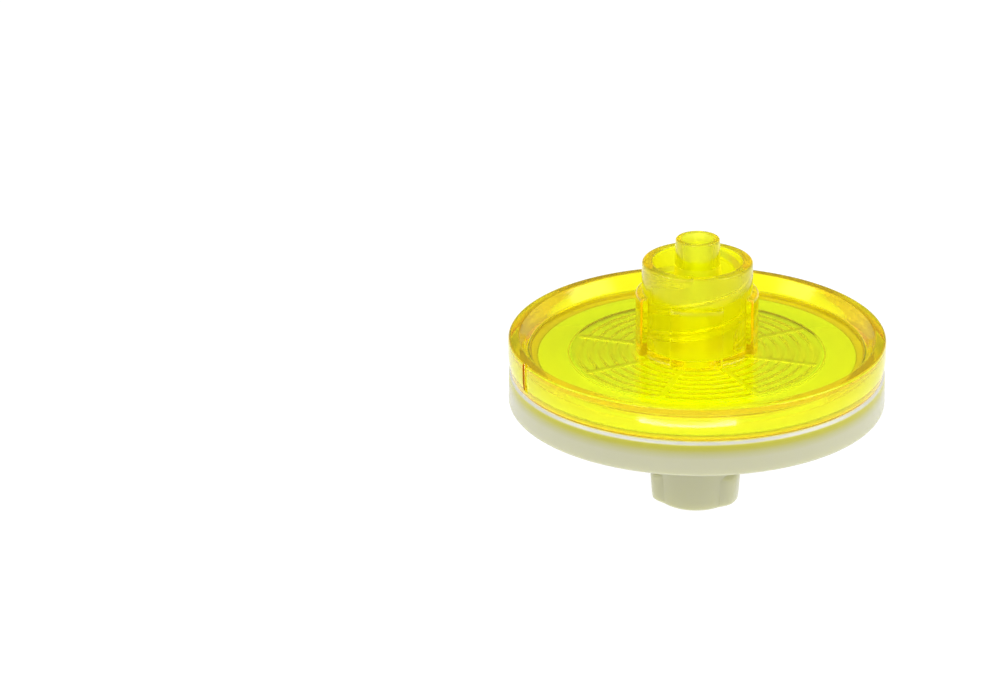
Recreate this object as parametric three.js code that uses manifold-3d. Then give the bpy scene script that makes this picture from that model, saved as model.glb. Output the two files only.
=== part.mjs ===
// Syringe filter, 33.8 mm across and 25.1 mm tall.
//
// Two moulded halves welded at the rim hold a membrane disc between them:
//   inlet_housing   lower half, with the female Luer hub that the filter stands on
//   membrane        the filter disc, clamped between the halves
//   outlet_housing  upper half, with the male Luer tip inside its threaded collar
//
// Millimetres, +Z up. The origin is the centre of the hub's end face.
// The collar's fine internal thread is not cut here: the bore is at its root diameter.

import * as THREE from 'three';
import { mergeVertices } from 'three/addons/utils/BufferGeometryUtils.js';
import Module from 'manifold-3d';

// ---------------------------------------------------------------- driving dimensions
const SEGMENTS = 48;            // facets round the axis

// disc
const RIM_R = 16.9;             // outer radius of both rims
const PARTING_R = 16.7;         // outer radius where the halves meet, less by the draft of the mould
const RIM_TOP_Z = 15.95;        // top of the outlet half's rim
const RIM_ROUND = 0.25;         // rounding of its outer edge
const RIM_BOTTOM_Z = 9.65;      // bottom of the inlet half's rim
const OUTLET_FLOOR_Z = 14.7;    // upper face of the outlet plate, inside its rim
const INLET_FLOOR_Z = 11.0;     // lower face of the inlet plate, inside its rim
const WELD_Z = 12.85;           // plane where the two flanges meet
const SLOPE_R0 = 14.9;          // foot of the sloping wall inside both rims
const SLOPE_R1 = 15.9;          // and its top

// membrane
const MEMBRANE_R = 14.2;
const MEMBRANE_T = 0.15;

// membrane support, the same on both halves
const CHAMBER_R = 11.5;         // radius of the chamber over each side of the membrane
const RIB_FIRST_R = 10.5;       // outermost ring rib
const RIB_PITCH = 1.0;
const RIB_COUNT = 9;
const RIB_W = 0.5;              // at the root
const RIB_TIP_W = 0.14;
const OUTLET_RIB_Z = 13.3;     // foot of the outlet ribs
const OUTLET_CEILING_Z = 13.6;  // between the outlet ribs
const INLET_RIB_Z = 12.65;      // top of the inlet ribs
const INLET_CHANNEL_Z = 12.2;  // between the inlet ribs
const SPOKES = 8;               // radial channels cut through the ribs
const SPOKE_W = 0.6;
const SPOKE_OUTER_R = 11.0;
const SPOKE_DEPTH = 0.15;       // how much deeper than the ring channels
const SPOKE_ANGLE = -16;        // degrees, of the first one

// weld tongue of the outlet half, in a groove of the inlet half
const TONGUE_R0 = 15.0;
const TONGUE_R1 = 15.9;
const TONGUE_Z = 11.6;
const GROOVE_GAP = 0.1;

// male Luer lock
const TIP_Z = 25.1;
const TIP_R = 1.97;             // 6 % taper
const TIP_TAPER = 0.03;         // growth of the radius for each millimetre down
const TIP_BORE_R = 1.45;
const OUTLET_BORE_R = 1.2;
const COLLAR_Z = 23.0;
const COLLAR_R = 4.93;
const COLLAR_BORE_R = 4.0;
const COLLAR_FLOOR_Z = 15.05;
const PAD_R = 5.47;             // four grip pads on the collar
const PAD_W = 4.66;
const PAD_Z = 20.2;

// female Luer hub
const HUB_R0 = 3.4;             // outer radius at the mouth
const HUB_R1 = 3.72;            // outer radius at the plate
const LUER_R = 2.15;            // bore radius at the mouth
const LUER_DEPTH = 8.0;
const LUER_END_R = 1.91;
const INLET_BORE_R = 1.2;
const LUG_R = 4.0;
const LUG_Z0 = 0.12;
const LUG_Z1 = 2.8;
const LUG_ARC = 20;             // half angle of the lug's outer face, degrees
const LUG_SPAN = 50;            // half angle of its root
const LUG_ANGLE = -8;

// gate mark on the outlet rim
const GATE_ANGLE = -153;
const GATE_W = 0.9;
const GATE_DEPTH = 0.3;

// ---------------------------------------------------------------- helpers
const wasm = await Module();
wasm.setup();

function solid(geometry) {
  const bare = geometry.index ? geometry.toNonIndexed() : geometry.clone();
  bare.deleteAttribute('normal');
  bare.deleteAttribute('uv');
  const merged = mergeVertices(bare, 1e-5);
  return new wasm.Manifold(new wasm.Mesh({
    numProp: 3,
    vertProperties: new Float32Array(merged.attributes.position.array),
    triVerts: new Uint32Array(merged.index.array),
  }));
}

function geometryOf(manifold) {
  const mesh = manifold.getMesh();
  const geometry = new THREE.BufferGeometry();
  geometry.setAttribute('position', new THREE.BufferAttribute(new Float32Array(mesh.vertProperties), 3));
  geometry.setIndex(new THREE.BufferAttribute(new Uint32Array(mesh.triVerts), 1));
  geometry.computeVertexNormals();
  return geometry;
}

// Closed ring turned about Z from a section given as [radius, height] points.
function turned(points) {
  let area = 0;
  points.forEach(([r, z], i) => {
    const [r2, z2] = points[(i + 1) % points.length];
    area += r * z2 - r2 * z;
  });
  const section = area > 0 ? [...points] : [...points].reverse();
  section.push(section[0]);
  const geometry = new THREE.LatheGeometry(section.map(([r, z]) => new THREE.Vector2(r, z)), SEGMENTS);
  geometry.rotateX(Math.PI / 2);
  return geometry;
}

function box(dx, dy, dz, x, y, z, degrees) {
  const geometry = new THREE.BoxGeometry(dx, dy, dz);
  geometry.translate(x, y, z);
  geometry.rotateZ(THREE.MathUtils.degToRad(degrees));
  return geometry;
}

// Section of the ring ribs, from the chamber's wall in towards the axis.
function ribSection(channelZ, ribZ, innerR) {
  const points = [];
  for (let i = 0; i < RIB_COUNT; i += 1) {
    const r = RIB_FIRST_R - i * RIB_PITCH;
    points.push([r + RIB_W / 2, channelZ], [r + RIB_TIP_W / 2, ribZ], [r - RIB_TIP_W / 2, ribZ], [r - RIB_W / 2, channelZ]);
  }
  points.push([innerR, channelZ]);
  return points;
}

function spokes(z0, z1) {
  const cutters = [];
  for (let i = 0; i < SPOKES / 2; i += 1) {
    cutters.push(solid(box(2 * SPOKE_OUTER_R, SPOKE_W, z1 - z0, 0, 0, (z0 + z1) / 2, SPOKE_ANGLE + i * (360 / SPOKES))));
  }
  return cutters;
}

// ---------------------------------------------------------------- outlet half
const tipRootR = TIP_R + TIP_TAPER * (TIP_Z - 0.25 - COLLAR_FLOOR_Z);
const outletSection = [
  [OUTLET_BORE_R, OUTLET_CEILING_Z],
  // bore of the tip
  [OUTLET_BORE_R, 17.0], [TIP_BORE_R, TIP_Z],
  // end of the tip, its taper, and the floor round it
  [TIP_R - 0.19, TIP_Z], [TIP_R - 0.05, TIP_Z - 0.08], [TIP_R, TIP_Z - 0.25],
  [tipRootR, COLLAR_FLOOR_Z + 0.2], [tipRootR + 0.2, COLLAR_FLOOR_Z],
  // collar
  [COLLAR_BORE_R, COLLAR_FLOOR_Z], [COLLAR_BORE_R, COLLAR_Z - 0.12], [COLLAR_BORE_R + 0.1, COLLAR_Z],
  [COLLAR_R - 0.3, COLLAR_Z], [COLLAR_R - 0.08, COLLAR_Z - 0.09], [COLLAR_R, COLLAR_Z - 0.3],
  [COLLAR_R + 0.04, OUTLET_FLOOR_Z + 0.25], [COLLAR_R + 0.29, OUTLET_FLOOR_Z],
  // floor and rim
  [SLOPE_R0 - 0.25, OUTLET_FLOOR_Z], [SLOPE_R0 + 0.16, OUTLET_FLOOR_Z + 0.2],
  [SLOPE_R1 - 0.13, RIM_TOP_Z - 0.16], [SLOPE_R1 + 0.2, RIM_TOP_Z],
  ...[0, 30, 60, 90].map((a) => [
    RIM_R - RIM_ROUND * (1 - Math.sin(THREE.MathUtils.degToRad(a))),
    RIM_TOP_Z - RIM_ROUND * (1 - Math.cos(THREE.MathUtils.degToRad(a))),
  ]),
  [PARTING_R, WELD_Z + 0.1], [PARTING_R - 0.1, WELD_Z + 0.02],
  // weld tongue and flange
  [TONGUE_R1, WELD_Z + 0.02], [TONGUE_R1, TONGUE_Z], [TONGUE_R0, TONGUE_Z], [TONGUE_R0, WELD_Z],
  [MEMBRANE_R + 0.1, WELD_Z], [MEMBRANE_R + 0.1, WELD_Z + MEMBRANE_T],
  // chamber and ribs
  [CHAMBER_R, WELD_Z + MEMBRANE_T], [CHAMBER_R, OUTLET_CEILING_Z],
  ...ribSection(OUTLET_CEILING_Z, OUTLET_RIB_Z, OUTLET_BORE_R).slice(0, -1),
];

let outlet = solid(turned(outletSection));
for (const cutter of spokes(WELD_Z + 0.1, OUTLET_CEILING_Z + SPOKE_DEPTH)) {
  outlet = outlet.subtract(cutter);
}
const padMask = solid(turned([
  [COLLAR_R - 0.45, OUTLET_FLOOR_Z - 0.3], [PAD_R, OUTLET_FLOOR_Z - 0.3],
  [PAD_R, PAD_Z - 0.2], [COLLAR_R - 0.15, PAD_Z + 0.05], [COLLAR_R - 0.45, PAD_Z + 0.05],
]));
for (const angle of [0, 90]) {
  outlet = outlet.add(padMask.intersect(solid(box(14, PAD_W, 9, 0, 0, PAD_Z - 3, angle))));
}
outlet = outlet.subtract(solid(box(1.0, GATE_W, 4, RIM_R - GATE_DEPTH + 0.5, 0, RIM_TOP_Z - 0.6, GATE_ANGLE)));

// ---------------------------------------------------------------- inlet half
const inletSection = [
  [INLET_BORE_R, INLET_CHANNEL_Z],
  // ribs, chamber and flange
  ...ribSection(INLET_CHANNEL_Z, INLET_RIB_Z, INLET_BORE_R).slice(0, -1).reverse(),
  [CHAMBER_R, INLET_CHANNEL_Z], [CHAMBER_R, WELD_Z],
  // groove for the weld tongue
  [TONGUE_R0 - GROOVE_GAP, WELD_Z], [TONGUE_R0 - GROOVE_GAP, TONGUE_Z - GROOVE_GAP],
  [TONGUE_R1 + GROOVE_GAP, TONGUE_Z - GROOVE_GAP], [TONGUE_R1 + GROOVE_GAP, WELD_Z - 0.02],
  // rim
  [PARTING_R - 0.15, WELD_Z - 0.02], [PARTING_R + 0.12, WELD_Z - 0.25],
  [RIM_R, RIM_BOTTOM_Z + 0.35], [RIM_R - 0.1, RIM_BOTTOM_Z + 0.1], [RIM_R - 0.35, RIM_BOTTOM_Z],
  [SLOPE_R1 + 0.2, RIM_BOTTOM_Z], [SLOPE_R1 - 0.13, RIM_BOTTOM_Z + 0.17],
  [SLOPE_R0 + 0.16, INLET_FLOOR_Z - 0.21], [SLOPE_R0 - 0.25, INLET_FLOOR_Z],
  // hub
  [HUB_R1 + 0.35, INLET_FLOOR_Z], [HUB_R1, INLET_FLOOR_Z - 0.35],
  [HUB_R0, 0.3], [HUB_R0 - 0.2, 0],
  // Luer bore
  [LUER_R + 0.12, 0], [LUER_R, 0.2], [LUER_END_R, LUER_DEPTH], [INLET_BORE_R, LUER_DEPTH + 0.25],
];

function lug(degrees) {
  const centre = THREE.MathUtils.degToRad(degrees);
  const at = (r, a) => new THREE.Vector2(r * Math.cos(centre + THREE.MathUtils.degToRad(a)), r * Math.sin(centre + THREE.MathUtils.degToRad(a)));
  const outline = [at(2.9, -LUG_SPAN * 0.8), at(HUB_R0, -LUG_SPAN)];
  for (let i = 0; i <= 4; i += 1) {
    outline.push(at(LUG_R, -LUG_ARC + (2 * LUG_ARC * i) / 4));
  }
  outline.push(at(HUB_R0, LUG_SPAN), at(2.9, LUG_SPAN * 0.8));
  const geometry = new THREE.ExtrudeGeometry(new THREE.Shape(outline), { depth: LUG_Z1 - LUG_Z0, bevelEnabled: false, steps: 1 });
  geometry.translate(0, 0, LUG_Z0);
  return geometry;
}

let inlet = solid(turned(inletSection));
for (const cutter of spokes(INLET_CHANNEL_Z - SPOKE_DEPTH, WELD_Z - 0.05)) {
  inlet = inlet.subtract(cutter);
}
inlet = inlet.add(solid(lug(LUG_ANGLE))).add(solid(lug(LUG_ANGLE + 180)));

// ---------------------------------------------------------------- membrane
const membraneGeometry = new THREE.CylinderGeometry(MEMBRANE_R, MEMBRANE_R, MEMBRANE_T, SEGMENTS);
membraneGeometry.rotateX(Math.PI / 2);

// ---------------------------------------------------------------- scene graph
const outletMesh = new THREE.Mesh(
  geometryOf(outlet),
  new THREE.MeshStandardMaterial({ color: 0xe8dc1e, roughness: 0.12, metalness: 0, transparent: true, opacity: 0.85 }),
);
outletMesh.name = 'outlet_housing';

const membraneMesh = new THREE.Mesh(
  membraneGeometry,
  new THREE.MeshStandardMaterial({ color: 0xf6f6f2, roughness: 0.85, metalness: 0 }),
);
membraneMesh.name = 'membrane';
membraneMesh.position.z = WELD_Z + MEMBRANE_T / 2;

const inletMesh = new THREE.Mesh(
  geometryOf(inlet),
  new THREE.MeshStandardMaterial({ color: 0xe6e6dc, roughness: 0.2, metalness: 0, transparent: true, opacity: 0.7 }),
);
inletMesh.name = 'inlet_housing';

const group = new THREE.Group();
group.add(outletMesh, membraneMesh, inletMesh);

export default group;
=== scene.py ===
"""Syringe filter: the fine surfaces, materials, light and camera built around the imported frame.

Sections are in millimetres, [radius, height, fillet], in the row frame: +Z up, origin at the centre of the hub's end.
"""

import math

import bpy
import numpy as np
from mathutils import Matrix, Vector


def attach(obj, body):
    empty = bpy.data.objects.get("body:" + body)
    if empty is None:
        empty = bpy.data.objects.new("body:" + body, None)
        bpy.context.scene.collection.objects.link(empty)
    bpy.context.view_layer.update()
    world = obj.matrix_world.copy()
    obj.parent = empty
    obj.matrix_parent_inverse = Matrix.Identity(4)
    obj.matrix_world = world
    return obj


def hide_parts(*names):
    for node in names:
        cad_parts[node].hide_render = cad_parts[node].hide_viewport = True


MM = 0.001
ROUND = 288  # columns round the axis

# ---------------------------------------------------------------- dimensions, mm
RIM_R, PARTING_R, RIM_TOP_Z, RIM_ROUND, RIM_BOTTOM_Z = 16.9, 16.7, 15.95, 0.25, 9.65
OUTLET_FLOOR_Z, INLET_FLOOR_Z, WELD_Z = 14.7, 11.0, 12.85
SLOPE_R0, SLOPE_R1 = 14.9, 15.9
BULGE_Z = 14.2  # below it the outlet's wall draws in to the parting plane
MEMBRANE_R, CHAMBER_R = 14.2, 11.5
RIB_FIRST_R, RIB_PITCH, RIB_COUNT = 10.5, 1.0, 9
OUTLET_RIB_Z, OUTLET_CEILING_Z = 13.53, 13.6
INLET_RIB_Z, INLET_CHANNEL_Z = 12.65, 12.2
SPOKES, SPOKE_W, SPOKE_OUTER_R, SPOKE_DEPTH, SPOKE_ANGLE = 8, 0.6, 11.0, 0.15, -16
TONGUE_R0, TONGUE_R1, TONGUE_Z = 15.0, 15.9, 11.6
TIP_Z, TIP_R, TIP_TAPER, TIP_BORE_R, OUTLET_BORE_R = 25.1, 1.97, 0.03, 1.45, 1.2
COLLAR_Z, COLLAR_R, COLLAR_BORE_R, COLLAR_FLOOR_Z = 23.0, 4.93, 4.0, 15.05
PAD_R, PAD_W, PAD_Z = 5.47, 4.66, 20.2
HUB_R0, HUB_R1 = 3.4, 3.72
LUER_R, LUER_DEPTH, LUER_END_R, INLET_BORE_R = 2.15, 8.0, 1.91, 1.2
LUG_ANGLE, LUG_ARC, LUG_SPAN, LUG_Z1 = -8, 20, 50, 2.8
GATE_ANGLE, GATE_W, GATE_DEPTH = -153, 0.9, 0.3
THREAD_CREST_R, THREAD_LEAD, THREAD_STARTS = 3.5, 5.0, 2
THREAD_Z = 20.15  # height of one ridge at the front, -90 degrees
GAP = 0.03  # air between pieces that touch
PRESSED_Z = 0.13  # outlet flange over the parting plane, where it presses on the membrane
MEMBRANE_TILT = 0.0008
FUSED = 0.01  # how far the welded faces run into each other

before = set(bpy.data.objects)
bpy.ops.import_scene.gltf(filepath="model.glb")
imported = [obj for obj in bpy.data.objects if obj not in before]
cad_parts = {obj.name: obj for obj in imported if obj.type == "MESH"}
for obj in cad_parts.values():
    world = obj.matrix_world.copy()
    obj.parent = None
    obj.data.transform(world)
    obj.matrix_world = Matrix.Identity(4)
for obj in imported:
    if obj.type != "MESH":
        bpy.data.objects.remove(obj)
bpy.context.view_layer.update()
scene = bpy.context.scene


# ---------------------------------------------------------------- mesh helpers
def filleted(points, step=13.0):
    """A closed section of [r, z, fillet] corners with each corner rounded to its fillet."""
    out = []
    n = len(points)
    for i in range(n):
        p0, p1, p2 = (np.array(points[(i + k) % n][:2], float) for k in (-1, 0, 1))
        f = points[i][2] if len(points[i]) > 2 else 0.0
        a, b = p0 - p1, p2 - p1
        la, lb = np.linalg.norm(a), np.linalg.norm(b)
        a, b = a / la, b / lb
        inner = math.acos(max(-1.0, min(1.0, float(a @ b))))
        turn = math.pi - inner
        if f <= 0 or turn < math.radians(4):
            out.append(tuple(p1))
            continue
        t = f * math.tan(turn / 2)
        limit = 0.46 * min(la, lb)
        if t > limit:
            t = limit
        f = t / math.tan(turn / 2)
        centre = p1 + (a + b) / np.linalg.norm(a + b) * (f / math.sin(inner / 2))
        s, e = p1 + a * t - centre, p1 + b * t - centre
        k = max(2, math.ceil(math.degrees(turn) / step))
        a0 = math.atan2(s[1], s[0])
        d = math.atan2(e[1], e[0]) - a0
        d = (d + math.pi) % (2 * math.pi) - math.pi
        for j in range(k + 1):
            g = a0 + d * j / k
            out.append((centre[0] + f * math.cos(g), centre[1] + f * math.sin(g)))
    return out


def make(name, verts, faces):
    mesh = bpy.data.meshes.new(name)
    mesh.from_pydata([tuple(v) for v in np.asarray(verts, float) * MM], [], faces)
    mesh.validate()
    obj = bpy.data.objects.new(name, mesh)
    scene.collection.objects.link(obj)
    return obj


def rings(name, columns, closed_round=True, capped=False):
    """A closed mesh from columns of points, each column a closed loop of the same count."""
    c = np.asarray(columns, float)
    n, m = c.shape[:2]
    verts = c.reshape(-1, 3)
    faces = []
    for i in range(n if closed_round else n - 1):
        j = (i + 1) % n
        for k in range(m):
            l = (k + 1) % m
            faces.append((i * m + k, j * m + k, j * m + l, i * m + l))
    if capped:
        faces.append(tuple(range(m)))
        faces.append(tuple((n - 1) * m + k for k in reversed(range(m))))
    obj = make(name, verts, faces)
    return outward(obj)


def volume_of(mesh):
    mesh.calc_loop_triangles()
    co = np.empty(len(mesh.vertices) * 3)
    mesh.vertices.foreach_get("co", co)
    co = co.reshape(-1, 3)
    tri = np.empty(len(mesh.loop_triangles) * 3, np.int32)
    mesh.loop_triangles.foreach_get("vertices", tri)
    a, b, c = (co[tri.reshape(-1, 3)[:, k]] for k in range(3))
    return float(np.einsum("ij,ij->i", a, np.cross(b, c)).sum() / 6)


def outward(obj):
    if volume_of(obj.data) < 0:
        obj.data.flip_normals()
    return obj


def turned(name, section, n=ROUND):
    s = np.array([p[:2] for p in section], float)
    columns = []
    for i in range(n):
        t = 2 * math.pi * i / n
        columns.append(np.stack([s[:, 0] * math.cos(t), s[:, 0] * math.sin(t), s[:, 1]], 1))
    return rings(name, columns)


def block(name, x, y, z, degrees, round_xy=0.0):
    """An upright block over the ranges x, y, z, its plan corners rounded, turned about Z."""
    plan = filleted([(x[0], y[0], round_xy), (x[1], y[0], round_xy), (x[1], y[1], round_xy), (x[0], y[1], round_xy)], 20)
    return loft(name, [(plan, z[0]), (plan, z[1])], degrees)


def loft(name, layers, degrees=0.0):
    """A closed solid through flat outlines of the same count, each at its height."""
    c, s = math.cos(math.radians(degrees)), math.sin(math.radians(degrees))
    columns = []
    for plan, z in layers:
        columns.append([(px * c - py * s, px * s + py * c, z) for px, py in plan])
    return rings(name, columns, closed_round=False, capped=True)


def joined(obj, other, operation):
    """obj with other added or cut away. other is used up."""
    mod = obj.modifiers.new("join", "BOOLEAN")
    mod.operation = operation
    mod.object = other
    mod.solver = "MANIFOLD"
    replace_mesh(obj)
    bpy.data.objects.remove(other)
    return obj


def replace_mesh(obj):
    dg = bpy.context.evaluated_depsgraph_get()
    mesh = bpy.data.meshes.new_from_object(obj.evaluated_get(dg))
    obj.modifiers.clear()
    old = obj.data
    obj.data = mesh
    bpy.data.meshes.remove(old)


def dressed(obj, degrees=32.0):
    """Smooth surfaces with crisp edges, flats kept flat up to their fillets."""
    obj.data.shade_smooth()
    obj.data.set_sharp_from_angle(angle=math.radians(degrees))
    mod = obj.modifiers.new("normals", "WEIGHTED_NORMAL")
    mod.mode = "FACE_AREA"
    mod.keep_sharp = True
    mod.weight = 50
    replace_mesh(obj)
    return obj


def rib_section(channel_z, rib_z):
    """Section of the rounded ring ribs, from the chamber's wall in towards the axis."""
    points = []
    for i in range(RIB_COUNT):
        r = RIB_FIRST_R - i * RIB_PITCH
        for u in np.linspace(-1, 1, 13)[: None if i == RIB_COUNT - 1 else -1]:
            rise = 0.5 + 0.5 * math.cos(math.pi * u)
            points.append((r - u * RIB_PITCH / 2, channel_z + (rib_z - channel_z) * rise))
    return points


def spoke(name, i, z0, z1):
    w = SPOKE_W / 2
    return block(name, (-SPOKE_OUTER_R, SPOKE_OUTER_R), (-w, w), (z0, z1), SPOKE_ANGLE + i * 360 / SPOKES, 0.15)


# ---------------------------------------------------------------- outlet half
tip_root = TIP_R + TIP_TAPER * (TIP_Z - 0.25 - COLLAR_FLOOR_Z)
outlet_section = filleted(
    [
        (OUTLET_BORE_R, OUTLET_CEILING_Z, 0.12),
        (OUTLET_BORE_R, 17.0),
        (TIP_BORE_R, TIP_Z, 0.12),
        (TIP_R - 0.01, TIP_Z, 0.2),
        (tip_root, COLLAR_FLOOR_Z, 0.3),
        (COLLAR_BORE_R - 0.02, COLLAR_FLOOR_Z, 0.2),
        (COLLAR_BORE_R, COLLAR_Z, 0.14),
        (COLLAR_R - 0.01, COLLAR_Z, 0.28),
        (COLLAR_R + 0.04, OUTLET_FLOOR_Z, 0.28),
        (SLOPE_R0, OUTLET_FLOOR_Z, 0.35),
        (SLOPE_R1, RIM_TOP_Z, 0.25),
        (RIM_R - 0.04, RIM_TOP_Z, RIM_ROUND),
        (RIM_R - 0.04, BULGE_Z, 4.0),
        (PARTING_R, WELD_Z + GAP, 0.1),
        (TONGUE_R1, WELD_Z + GAP),
        (TONGUE_R1, TONGUE_Z, 0.15),
        (TONGUE_R0, TONGUE_Z, 0.15),
        (TONGUE_R0, WELD_Z - GAP - FUSED),
        (MEMBRANE_R + 0.1, WELD_Z - GAP - FUSED),
        # pressed onto the membrane round the chamber
        (MEMBRANE_R + 0.1, WELD_Z + PRESSED_Z),
        (CHAMBER_R, WELD_Z + PRESSED_Z, 0.06),
        (CHAMBER_R, OUTLET_CEILING_Z, 0.1),
        *rib_section(OUTLET_CEILING_Z, OUTLET_RIB_Z),
    ]
)
outlet = turned("outlet_shell", outlet_section)
for i in range(SPOKES // 2):
    joined(outlet, spoke("cut", i, WELD_Z - 0.3, OUTLET_CEILING_Z + SPOKE_DEPTH), "DIFFERENCE")


def pad_plan(outer_r, inner_r=4.3, corner=0.26):
    """Plan of one grip pad: flat parallel sides and an outer face round the axis."""
    w = PAD_W / 2
    reach = math.asin(w / outer_r)
    arc = [(outer_r * math.cos(a), outer_r * math.sin(a), corner if k in (0, 12) else 0) for k, a in enumerate(np.linspace(-reach, reach, 13))]
    points = [(inner_r, w), (inner_r, -w), *arc]
    out = []
    n = len(points)
    # corners are rounded by hand so that every layer has the same count
    for i, p in enumerate(points):
        if len(p) > 2 and p[2]:
            p0, p1, p2 = (np.array(points[(i + k) % n][:2], float) for k in (-1, 0, 1))
            a, b = p0 - p1, p2 - p1
            a, b = a / np.linalg.norm(a), b / np.linalg.norm(b)
            for t in np.linspace(0, 1, 6):
                q = (1 - t) ** 2 * (p1 + a * corner) + 2 * t * (1 - t) * p1 + t * t * (p1 + b * corner)
                out.append(tuple(q))
        else:
            out.append(tuple(p[:2]))
    return out


pad_layers = [(PAD_R + 0.02, OUTLET_FLOOR_Z - 0.12), (PAD_R + 0.02, OUTLET_FLOOR_Z + 0.1)]
for t in np.linspace(0, 1, 8):  # rounded shoulder, then a low slope to the collar's wall
    a = math.radians(70 * t)
    pad_layers.append((PAD_R - 0.3 * (1 - math.cos(a)), PAD_Z - 0.38 + 0.3 * math.sin(a)))
pad_layers.append((COLLAR_R - 0.12, PAD_Z + 0.05))
for k in range(4):
    pad = loft("pad", [(pad_plan(r), z) for r, z in pad_layers], 90 * k)
    joined(outlet, pad, "UNION")


def ridge(name, z_front):
    """One start of the collar's internal thread: a right-handed ridge with run-outs at both ends."""
    slope = THREAD_LEAD / 360
    a0 = (COLLAR_FLOOR_Z + 0.75 - z_front) / slope
    a1 = (COLLAR_Z - 0.42 - z_front) / slope
    n = int((a1 - a0) / 3.5)
    columns = []
    for i in range(n + 1):
        a = a0 + (a1 - a0) * i / n
        fade = min(1.0, (a - a0 + 1.5) / 26, (a1 - a + 1.5) / 22)
        fade = math.sin(fade * math.pi / 2)
        crest = COLLAR_BORE_R - (COLLAR_BORE_R - THREAD_CREST_R) * fade
        z = z_front + slope * a
        root, w0, w1 = COLLAR_BORE_R + 0.25, 0.5, 0.17
        section = [(root, -w0 - 0.12), (COLLAR_BORE_R + 0.005, -w0), (crest + 0.07, -w1 - 0.04), (crest + 0.02, -w1 + 0.02), (crest, -w1 + 0.1)]
        section += [(r, -dz) for r, dz in reversed(section)]
        t = math.radians(a - 90)
        columns.append([(r * math.cos(t), r * math.sin(t), z + dz) for r, dz in section])
    return rings(name, columns, closed_round=False, capped=True)


for k in range(THREAD_STARTS):
    joined(outlet, ridge("ridge", THREAD_Z - k * THREAD_LEAD / THREAD_STARTS), "UNION")
joined(
    outlet,
    block("gate", (RIM_R - GATE_DEPTH, RIM_R + 1), (-GATE_W / 2, GATE_W / 2), (RIM_TOP_Z - 2.6, RIM_TOP_Z + 0.5), GATE_ANGLE, 0.12),
    "DIFFERENCE",
)

# ---------------------------------------------------------------- inlet half
inlet_top = WELD_Z - GAP
inlet_ribs = list(reversed(rib_section(INLET_CHANNEL_Z, INLET_RIB_Z)))
inlet_section = filleted(
    [
        (INLET_BORE_R, INLET_CHANNEL_Z, 0.12),
        *inlet_ribs,
        (CHAMBER_R, INLET_CHANNEL_Z, 0.1),
        (CHAMBER_R, inlet_top, 0.06),
        (TONGUE_R0 + FUSED, inlet_top),
        (TONGUE_R0 + FUSED, TONGUE_Z + FUSED, 0.15),
        (TONGUE_R1 - FUSED, TONGUE_Z + FUSED, 0.15),
        (TONGUE_R1 - FUSED, inlet_top),
        (PARTING_R - 0.12, inlet_top, 0.06),
        (PARTING_R + 0.13, inlet_top - 0.27, 0.15),
        (RIM_R - 0.005, RIM_BOTTOM_Z, 0.34),
        (SLOPE_R1, RIM_BOTTOM_Z, 0.25),
        (SLOPE_R0, INLET_FLOOR_Z, 0.35),
        (HUB_R1, INLET_FLOOR_Z, 0.45),
        (HUB_R0, 0.0, 0.22),
        (LUER_R, 0.0, 0.16),
        (LUER_END_R, LUER_DEPTH, 0.1),
        (INLET_BORE_R, LUER_DEPTH + 0.25, 0.08),
    ]
)
inlet = turned("inlet_shell", inlet_section)
for i in range(SPOKES // 2):
    joined(inlet, spoke("cut", i, INLET_CHANNEL_Z - SPOKE_DEPTH, WELD_Z - GAP - 0.001), "DIFFERENCE")


def lug_plan(reach):
    """Plan of one lug: it swells out of the hub's wall and back into it."""
    out = []
    for a in np.linspace(-LUG_SPAN, LUG_SPAN, 41):
        t = max(0.0, (abs(a) - LUG_ARC) / (LUG_SPAN - LUG_ARC))
        s = 0.5 + 0.5 * math.cos(math.pi * t)
        r = HUB_R0 - 0.06 + (reach - HUB_R0 + 0.06) * s
        out.append((r * math.cos(math.radians(a)), r * math.sin(math.radians(a))))
    for a in np.linspace(LUG_SPAN, -LUG_SPAN, 13):
        out.append((2.75 * math.cos(math.radians(a)), 2.75 * math.sin(math.radians(a))))
    return out


lug_layers = []
for t in np.linspace(0, 1, 6):
    a = math.radians(90 * t)
    lug_layers.append((3.93 - 0.2 * (1 - math.sin(a)), 0.08 + 0.2 * (1 - math.cos(a))))
for t in np.linspace(0, 1, 6):
    a = math.radians(80 * t)
    lug_layers.append((4.07 - 0.35 * (1 - math.cos(a)), LUG_Z1 - 0.7 + 0.6 * math.sin(a)))
lug_layers.append((HUB_R0 - 0.02, LUG_Z1 + 0.25))
for k in range(2):
    joined(inlet, loft("lug", [(lug_plan(r), z) for r, z in lug_layers], LUG_ANGLE + 180 * k), "UNION")

# ---------------------------------------------------------------- membrane
membrane = turned(
    "membrane_disc",
    filleted([(0.0005, WELD_Z + 0.01), (MEMBRANE_R, WELD_Z + 0.01, 0.03), (MEMBRANE_R, WELD_Z + 0.14, 0.03), (0.0005, WELD_Z + 0.14)]),
    192,
)
# pressed hard at the front and sides, with a film of air left behind
for vertex in membrane.data.vertices:
    vertex.co.z -= MEMBRANE_TILT * (vertex.co.y - 6.0 * MM) + 0.01 * MM

for obj in (outlet, inlet, membrane):
    dressed(obj)


# ---------------------------------------------------------------- materials
def material(name):
    m = bpy.data.materials.new(name)
    m.use_nodes = True
    t = m.node_tree
    t.nodes.clear()
    return m, t


def node(t, kind, **values):
    n = t.nodes.new(kind)
    for k, v in values.items():
        if hasattr(n, k):
            setattr(n, k, v)
        else:
            n.inputs[k].default_value = v
    return n


def stepped(ramp, stops):
    """Fills a colour ramp with stops that run from 0 to 1."""
    for at, _ in stops[1:-1]:
        ramp.elements.new(at)
    for element, (_, colour) in zip(ramp.elements, stops):
        element.color = (*colour, 1)


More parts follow.
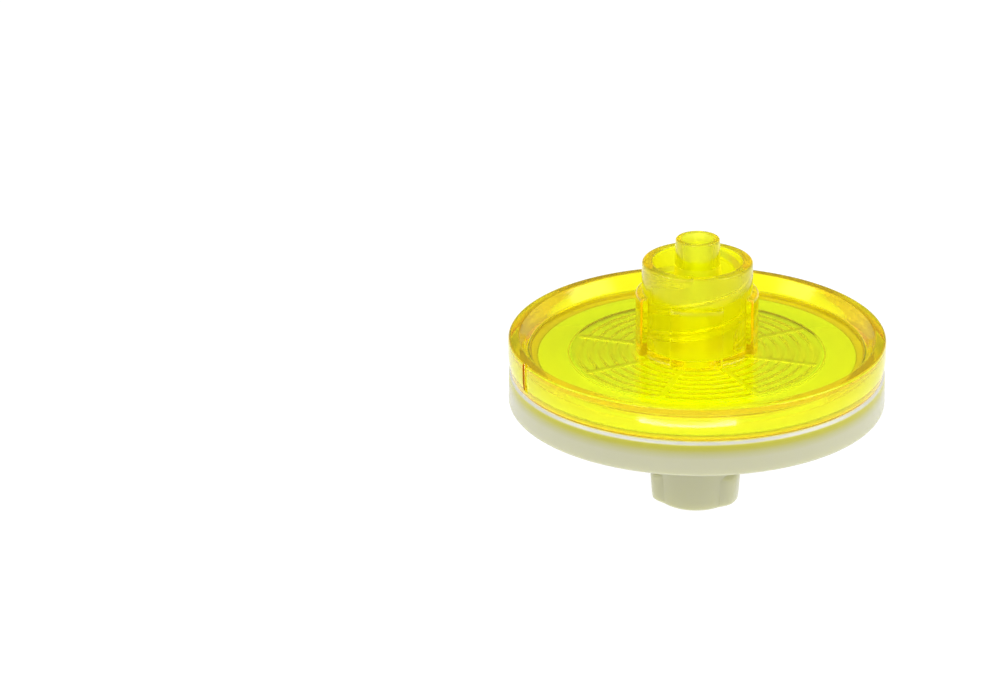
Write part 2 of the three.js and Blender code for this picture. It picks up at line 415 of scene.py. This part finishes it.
def cavities(t, position):
    """1 in the tip's bore, inside the collar, and in the chamber; 0 on the outside."""
    link = t.links.new
    flat = node(t, "ShaderNodeVectorMath", operation="MULTIPLY")
    flat.inputs[1].default_value = (1, 1, 0)
    link(position, flat.inputs[0])
    radius = node(t, "ShaderNodeVectorMath", operation="LENGTH")
    link(flat.outputs["Vector"], radius.inputs[0])
    height = node(t, "ShaderNodeSeparateXYZ")
    link(position, height.inputs["Vector"])

    def below(value, limit):
        n = node(t, "ShaderNodeMath", operation="LESS_THAN")
        link(value, n.inputs[0])
        n.inputs[1].default_value = limit * MM
        return n.outputs[0]

    def both(a, b, operation="MULTIPLY"):
        n = node(t, "ShaderNodeMath", operation=operation)
        link(a, n.inputs[0])
        link(b, n.inputs[1])
        return n.outputs[0]

    r, z = radius.outputs["Value"], height.outputs["Z"]
    bore = below(r, 1.75)
    collar = both(below(r, 4.3), below(z, COLLAR_Z - 0.25))
    chamber = both(below(r, CHAMBER_R - 0.3), below(z, OUTLET_CEILING_Z + 0.25))
    return both(both(bore, collar, "MAXIMUM"), chamber, "MAXIMUM")


def plastic(name, tint, density, ior, roughness, transmission=1.0, base=(1, 1, 1), wave=0.02, shadow=(1, 1, 1), gloss=(1, 1, 1), matt=None, through=None, milk=0.0):
    m, t = material(name)
    link = t.links.new
    out = node(t, "ShaderNodeOutputMaterial")
    bsdf = node(t, "ShaderNodeBsdfPrincipled")
    bsdf.inputs["Base Color"].default_value = (*base, 1)
    bsdf.inputs["IOR"].default_value = ior
    bsdf.inputs["Transmission Weight"].default_value = transmission
    bsdf.inputs["Specular Tint"].default_value = (*gloss, 1)
    bsdf.inputs["Subsurface Weight"].default_value = milk
    bsdf.inputs["Subsurface Radius"].default_value = (1.0, 1.0, 0.7)
    bsdf.inputs["Subsurface Scale"].default_value = 1.2 * MM
    # moulded surface: a faint uneven polish, and the slow waves that shrinkage leaves
    coord = node(t, "ShaderNodeTexCoord")
    fine = node(t, "ShaderNodeTexNoise", Scale=900.0, Detail=3.0, Roughness=0.6)
    slow = node(t, "ShaderNodeTexNoise", Scale=160.0, Detail=2.0, Roughness=0.5)
    link(coord.outputs["Object"], fine.inputs["Vector"])
    link(coord.outputs["Object"], slow.inputs["Vector"])
    polish = node(t, "ShaderNodeMapRange")
    polish.inputs["From Min"].default_value = 0.35
    polish.inputs["From Max"].default_value = 0.7
    polish.inputs["To Min"].default_value = roughness * 0.85
    polish.inputs["To Max"].default_value = roughness * 1.2
    link(fine.outputs["Fac"], polish.inputs["Value"])
    if matt is None:
        link(polish.outputs["Result"], bsdf.inputs["Roughness"])
    else:
        # the cavities of the mould are less polished than its outside
        inside = cavities(t, coord.outputs["Object"])
        gain = node(t, "ShaderNodeMath", operation="MULTIPLY_ADD")
        link(inside, gain.inputs[0])
        gain.inputs[1].default_value = matt / roughness - 1
        gain.inputs[2].default_value = 1.0
        total = node(t, "ShaderNodeMath", operation="MULTIPLY")
        link(polish.outputs["Result"], total.inputs[0])
        link(gain.outputs[0], total.inputs[1])
        link(total.outputs[0], bsdf.inputs["Roughness"])
    bump = node(t, "ShaderNodeBump")
    bump.inputs["Strength"].default_value = 1.0
    bump.inputs["Distance"].default_value = wave * MM
    link(slow.outputs["Fac"], bump.inputs["Height"])
    link(bump.outputs["Normal"], bsdf.inputs["Normal"])
    if through is not None:
        # painted light by height: the yellow weld tongue's olive is painted on the wall outside it, standing in for it
        # showing through, with a pale painted highlight along the parting edge above
        height = node(t, "ShaderNodeSeparateXYZ")
        link(coord.outputs["Object"], height.inputs["Vector"])
        colours = node(t, "ShaderNodeValToRGB")
        span = node(t, "ShaderNodeMapRange")
        z0, z1 = through[0][0], through[-1][0]
        span.inputs["From Min"].default_value = z0 * MM
        span.inputs["From Max"].default_value = z1 * MM
        link(height.outputs["Z"], span.inputs["Value"])
        link(span.outputs["Result"], colours.inputs["Fac"])
        stepped(colours.color_ramp, [((z - z0) / (z1 - z0), colour) for z, colour in through])
        # painted light: inside the tongue's radius and above the inlet floor the colour is painted paler, standing in
        # for light carried through the welded faces
        flat = node(t, "ShaderNodeVectorMath", operation="MULTIPLY")
        flat.inputs[1].default_value = (1, 1, 0)
        link(coord.outputs["Object"], flat.inputs[0])
        radius = node(t, "ShaderNodeVectorMath", operation="LENGTH")
        link(flat.outputs["Vector"], radius.inputs[0])
        within = node(t, "ShaderNodeMath", operation="LESS_THAN")
        link(radius.outputs["Value"], within.inputs[0])
        within.inputs[1].default_value = (TONGUE_R1 + 0.2) * MM
        above = node(t, "ShaderNodeMath", operation="GREATER_THAN")
        link(height.outputs["Z"], above.inputs[0])
        above.inputs[1].default_value = (INLET_FLOOR_Z + 0.4) * MM
        weld_light_mask = node(t, "ShaderNodeMath", operation="MULTIPLY")
        link(within.outputs[0], weld_light_mask.inputs[0])
        link(above.outputs[0], weld_light_mask.inputs[1])
        painted_weld_light = node(t, "ShaderNodeMix", data_type="RGBA")
        painted_weld_light.inputs[7].default_value = (*PAINTED_WELD_LIGHT, 1)
        link(weld_light_mask.outputs[0], painted_weld_light.inputs["Factor"])
        link(colours.outputs["Color"], painted_weld_light.inputs[6])
        link(painted_weld_light.outputs[2], bsdf.inputs["Base Color"])
    clear = node(t, "ShaderNodeBsdfTransparent")
    clear.inputs["Color"].default_value = (*shadow, 1)
    path = node(t, "ShaderNodeLightPath")
    mix = node(t, "ShaderNodeMixShader")
    link(path.outputs["Is Shadow Ray"], mix.inputs["Fac"])
    link(bsdf.outputs["BSDF"], mix.inputs[1])
    link(clear.outputs["BSDF"], mix.inputs[2])
    link(mix.outputs["Shader"], out.inputs["Surface"])
    absorb = node(t, "ShaderNodeVolumeAbsorption")
    absorb.inputs["Color"].default_value = (*tint, 1)
    absorb.inputs["Density"].default_value = density
    link(absorb.outputs["Volume"], out.inputs["Volume"])
    return m


yellow = plastic("clear_yellow_plastic", (0.9998, 0.9915, 0.0), 4000.0, 1.49, 0.12, base=(0.95, 1.0, 0.7), wave=0.004, shadow=(0.93, 0.97, 0.93), gloss=(1.0, 1.0, 0.55), matt=0.5)
natural = (0.54, 0.535, 0.375)
# painted light: a paler colour for the welded faces, standing in for light carried through the weld
PAINTED_WELD_LIGHT = (0.74, 0.69, 0.5)
milky = plastic(
    "natural_plastic", (0.97, 0.97, 0.75), 100.0, 1.49, 0.22, transmission=0.0, milk=1.0, base=natural, wave=0.004, shadow=(0.93, 0.93, 0.9),
    # through: a painted olive band below the parting plane for the tongue seen through the wall, then a pale painted
    # highlight at the parting edge
    through=((11.2, natural), (11.7, (0.5, 0.49, 0.25)), (12.1, (0.49, 0.47, 0.08)), (12.3, (0.48, 0.46, 0.04)), (12.52, (0.5, 0.48, 0.06)), (12.64, (0.56, 0.56, 0.6)), (12.9, (0.56, 0.56, 0.75))),
)


def membrane_material():
    m, t = material("white_membrane")
    link = t.links.new
    out = node(t, "ShaderNodeOutputMaterial")
    bsdf = node(t, "ShaderNodeBsdfPrincipled")
    bsdf.inputs["Roughness"].default_value = 0.85
    coord = node(t, "ShaderNodeTexCoord")
    pores = node(t, "ShaderNodeTexNoise", Scale=6000.0, Detail=4.0, Roughness=0.7)
    cloud = node(t, "ShaderNodeTexNoise", Scale=220.0, Detail=3.0, Roughness=0.5)
    link(coord.outputs["Object"], pores.inputs["Vector"])
    link(coord.outputs["Object"], cloud.inputs["Vector"])
    ramp = node(t, "ShaderNodeMix", data_type="RGBA")
    ramp.inputs["A"].default_value = (0.71, 0.91, 0.85, 1)
    ramp.inputs["B"].default_value = (0.75, 0.94, 0.88, 1)
    ramp.inputs[6].default_value = (0.71, 0.91, 0.85, 1)
    ramp.inputs[7].default_value = (0.75, 0.94, 0.88, 1)
    link(cloud.outputs["Fac"], ramp.inputs["Factor"])
    # rings where the ribs bear on it: an embossed bump, and a painted shade colour in the rings standing in for the
    # light and shade of the rib pattern
    flat = node(t, "ShaderNodeVectorMath", operation="MULTIPLY")
    flat.inputs[1].default_value = (1, 1, 0)
    link(coord.outputs["Object"], flat.inputs[0])
    radius = node(t, "ShaderNodeVectorMath", operation="LENGTH")
    link(flat.outputs["Vector"], radius.inputs[0])
    phase = node(t, "ShaderNodeMath", operation="MULTIPLY_ADD")
    link(radius.outputs["Value"], phase.inputs[0])
    phase.inputs[1].default_value = 2 * math.pi / (RIB_PITCH * MM)
    phase.inputs[2].default_value = -2 * math.pi * RIB_FIRST_R / RIB_PITCH
    wave = node(t, "ShaderNodeMath", operation="COSINE")
    link(phase.outputs[0], wave.inputs[0])
    press = node(t, "ShaderNodeMapRange")
    press.inputs["From Min"].default_value = -1.0
    press.inputs["From Max"].default_value = 1.0
    link(wave.outputs[0], press.inputs["Value"])
    edge = node(t, "ShaderNodeMapRange", interpolation_type="SMOOTHSTEP")
    edge.inputs["From Min"].default_value = 11.1 * MM
    edge.inputs["From Max"].default_value = 10.9 * MM
    link(radius.outputs["Value"], edge.inputs["Value"])
    amount = node(t, "ShaderNodeMath", operation="MULTIPLY")
    link(press.outputs["Result"], amount.inputs[0])
    link(edge.outputs["Result"], amount.inputs[1])
    # painted shade: the rings' darker, yellower colour
    pressed_ring_shade = node(t, "ShaderNodeMix", data_type="RGBA")
    pressed_ring_shade.inputs[7].default_value = (0.79, 0.84, 0.68, 1)
    link(amount.outputs[0], pressed_ring_shade.inputs["Factor"])
    link(ramp.outputs[2], pressed_ring_shade.inputs[6])
    link(pressed_ring_shade.outputs[2], bsdf.inputs["Base Color"])
    bump = node(t, "ShaderNodeBump")
    bump.inputs["Strength"].default_value = 0.6
    bump.inputs["Distance"].default_value = 0.01 * MM
    link(pores.outputs["Fac"], bump.inputs["Height"])
    emboss = node(t, "ShaderNodeBump", invert=True)
    emboss.inputs["Strength"].default_value = 1.0
    emboss.inputs["Distance"].default_value = 0.11 * MM
    link(amount.outputs[0], emboss.inputs["Height"])
    link(bump.outputs["Normal"], emboss.inputs["Normal"])
    link(emboss.outputs["Normal"], bsdf.inputs["Normal"])
    link(bsdf.outputs["BSDF"], out.inputs["Surface"])
    return m


outlet.data.materials.clear()
outlet.data.materials.append(yellow)
inlet.data.materials.clear()
inlet.data.materials.append(milky)
membrane.data.materials.clear()
membrane.data.materials.append(membrane_material())

for obj, body_node, slot in (
    (outlet, "outlet_housing", "outlet_plastic"),
    (inlet, "inlet_housing", "inlet_plastic"),
    (membrane, "membrane", "membrane"),
):
    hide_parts(body_node)
    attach(obj, "root")

# ---------------------------------------------------------------- floor and light
floor_mesh = bpy.data.meshes.new("floor")
floor_mesh.from_pydata([(-3, -3, 0), (3, -3, 0), (3, 3, 0), (-3, 3, 0)], [], [(0, 1, 2, 3)])
floor = bpy.data.objects.new("floor", floor_mesh)
floor.location.z = -0.00004
scene.collection.objects.link(floor)
floor_material, ft = material("floor_white")
fo = node(ft, "ShaderNodeOutputMaterial")
fb = node(ft, "ShaderNodeBsdfPrincipled")
fb.inputs["Base Color"].default_value = (0.12, 0.12, 0.12, 1)
fb.inputs["Roughness"].default_value = 0.9
fb.inputs["Specular IOR Level"].default_value = 0.0
fb.inputs["Emission Color"].default_value = (1, 1, 1, 1)
fb.inputs["Emission Strength"].default_value = 0.95
ft.links.new(fb.outputs["BSDF"], fo.inputs["Surface"])
floor_mesh.materials.append(floor_material)

world = bpy.data.worlds.new("studio")
scene.world = world
world.use_nodes = True
wt = world.node_tree
sky = wt.nodes["Background"]
sky.inputs["Strength"].default_value = 1.0
way = node(wt, "ShaderNodeTexCoord")
split = node(wt, "ShaderNodeSeparateXYZ")
height = node(wt, "ShaderNodeValToRGB")
wt.links.new(way.outputs["Generated"], split.inputs["Vector"])
wt.links.new(split.outputs["Z"], height.inputs["Fac"])
# a dark flag behind the filter, in the sky that its flat tops mirror
facing = node(wt, "ShaderNodeVectorMath", operation="DOT_PRODUCT")
facing.inputs[1].default_value = (0.0, 0.9145, 0.4047)
wt.links.new(way.outputs["Generated"], facing.inputs[0])
flag = node(wt, "ShaderNodeMapRange", interpolation_type="SMOOTHSTEP")
flag.inputs["From Min"].default_value = 0.78
flag.inputs["From Max"].default_value = 0.93
flag.inputs["To Min"].default_value = 1.0
flag.inputs["To Max"].default_value = 0.22
wt.links.new(facing.outputs["Value"], flag.inputs["Value"])
shade = node(wt, "ShaderNodeVectorMath", operation="SCALE")
wt.links.new(height.outputs["Color"], shade.inputs[0])
wt.links.new(flag.outputs["Result"], shade.inputs["Scale"])
wt.links.new(shade.outputs["Vector"], sky.inputs["Color"])
stops = ((0.0, 0.8), (0.3, 0.7), (0.6, 0.7), (1.0, 0.8))  # sine of the height above the horizon, brightness
stepped(height.color_ramp, [(at, (value, value, value)) for at, value in stops])


def softbox(name, at, to, size, power):
    data = bpy.data.lights.new(name, "AREA")
    data.shape = "RECTANGLE"
    data.size, data.size_y = size
    data.energy = power
    obj = bpy.data.objects.new(name, data)
    obj.location = at
    obj.rotation_euler = (Vector(to) - Vector(at)).to_track_quat("-Z", "Y").to_euler()
    scene.collection.objects.link(obj)
    return obj


def aimed(azimuth, elevation, distance):
    """A point seen from the filter at that azimuth (0 towards the camera, positive to its right) and elevation."""
    a, e = math.radians(azimuth - 90), math.radians(elevation)
    return (distance * math.cos(a) * math.cos(e), distance * math.sin(a) * math.cos(e), 0.014 + distance * math.sin(e))


softbox("left_key", aimed(-30, 48, 0.6), (0, 0, 0.014), (0.34, 0.15), 0.8)
softbox("left_fill", aimed(-78, 42, 0.6), (0, 0, 0.014), (0.34, 0.2), 0.63)
softbox("right_fill", aimed(80, 39, 0.6), (0, 0, 0.014), (0.5, 0.25), 1.2)
softbox("front_fill", aimed(42, 30, 0.7), (0, 0, 0.014), (0.4, 0.3), 0.4)


# a low strip light in front, for the bright line along the outlet's wall; it is flagged off everything else
strip = softbox("floor_strip", (-0.0028, -0.041, 0.0022), (-0.0005, -0.0168, 0.01445), (0.036, 0.0024), 0.0052)
lit = bpy.data.collections.new("lit_by_strip")
lit.objects.link(outlet)
strip.light_linking.receiver_collection = lit


# ---------------------------------------------------------------- camera
FOCAL, DISTANCE, ELEVATION, ROLL, AIM = 3333.0, 0.300, 23.08, -0.63, (696.3, 374.36)
e, roll = math.radians(ELEVATION), math.radians(ROLL)
target = np.array([0, 0, 0.012])
look = np.array([0, -math.cos(e), math.sin(e)])
eye = target + DISTANCE * look
fwd = -look
right = np.cross(fwd, [0, 0, 1])
right /= np.linalg.norm(right)
up = np.cross(right, fwd)
t = np.array([(AIM[0] - 500) / FOCAL, -(AIM[1] - 350) / FOCAL, 1.0])
t /= np.linalg.norm(t)
v = np.cross(t, [0, 0, 1])
K = np.array([[0, -v[2], v[1]], [v[2], 0, -v[0]], [-v[1], v[0], 0]])
turn = np.eye(3) + K + K @ K / (1 + t[2])
spin = np.array([[math.cos(roll), -math.sin(roll), 0], [math.sin(roll), math.cos(roll), 0], [0, 0, 1]])
M = turn.T @ spin @ np.array([right, up, fwd])
camera_data = bpy.data.cameras.new("camera")
camera = bpy.data.objects.new("camera", camera_data)
camera_data.sensor_width = 36.0
camera_data.lens = FOCAL / 1000 * 36.0
camera_data.clip_start, camera_data.clip_end = 0.01, 20
camera.matrix_world = Matrix(
    [[M[0][0], M[1][0], -M[2][0], eye[0]], [M[0][1], M[1][1], -M[2][1], eye[1]], [M[0][2], M[1][2], -M[2][2], eye[2]], [0, 0, 0, 1]]
)
scene.collection.objects.link(camera)
scene.camera = camera

scene.view_settings.view_transform = "Standard"
scene.view_settings.look = "None"
scene.cycles.max_bounces = 32
scene.cycles.transmission_bounces = 32
scene.cycles.glossy_bounces = 16
scene.cycles.transparent_max_bounces = 32
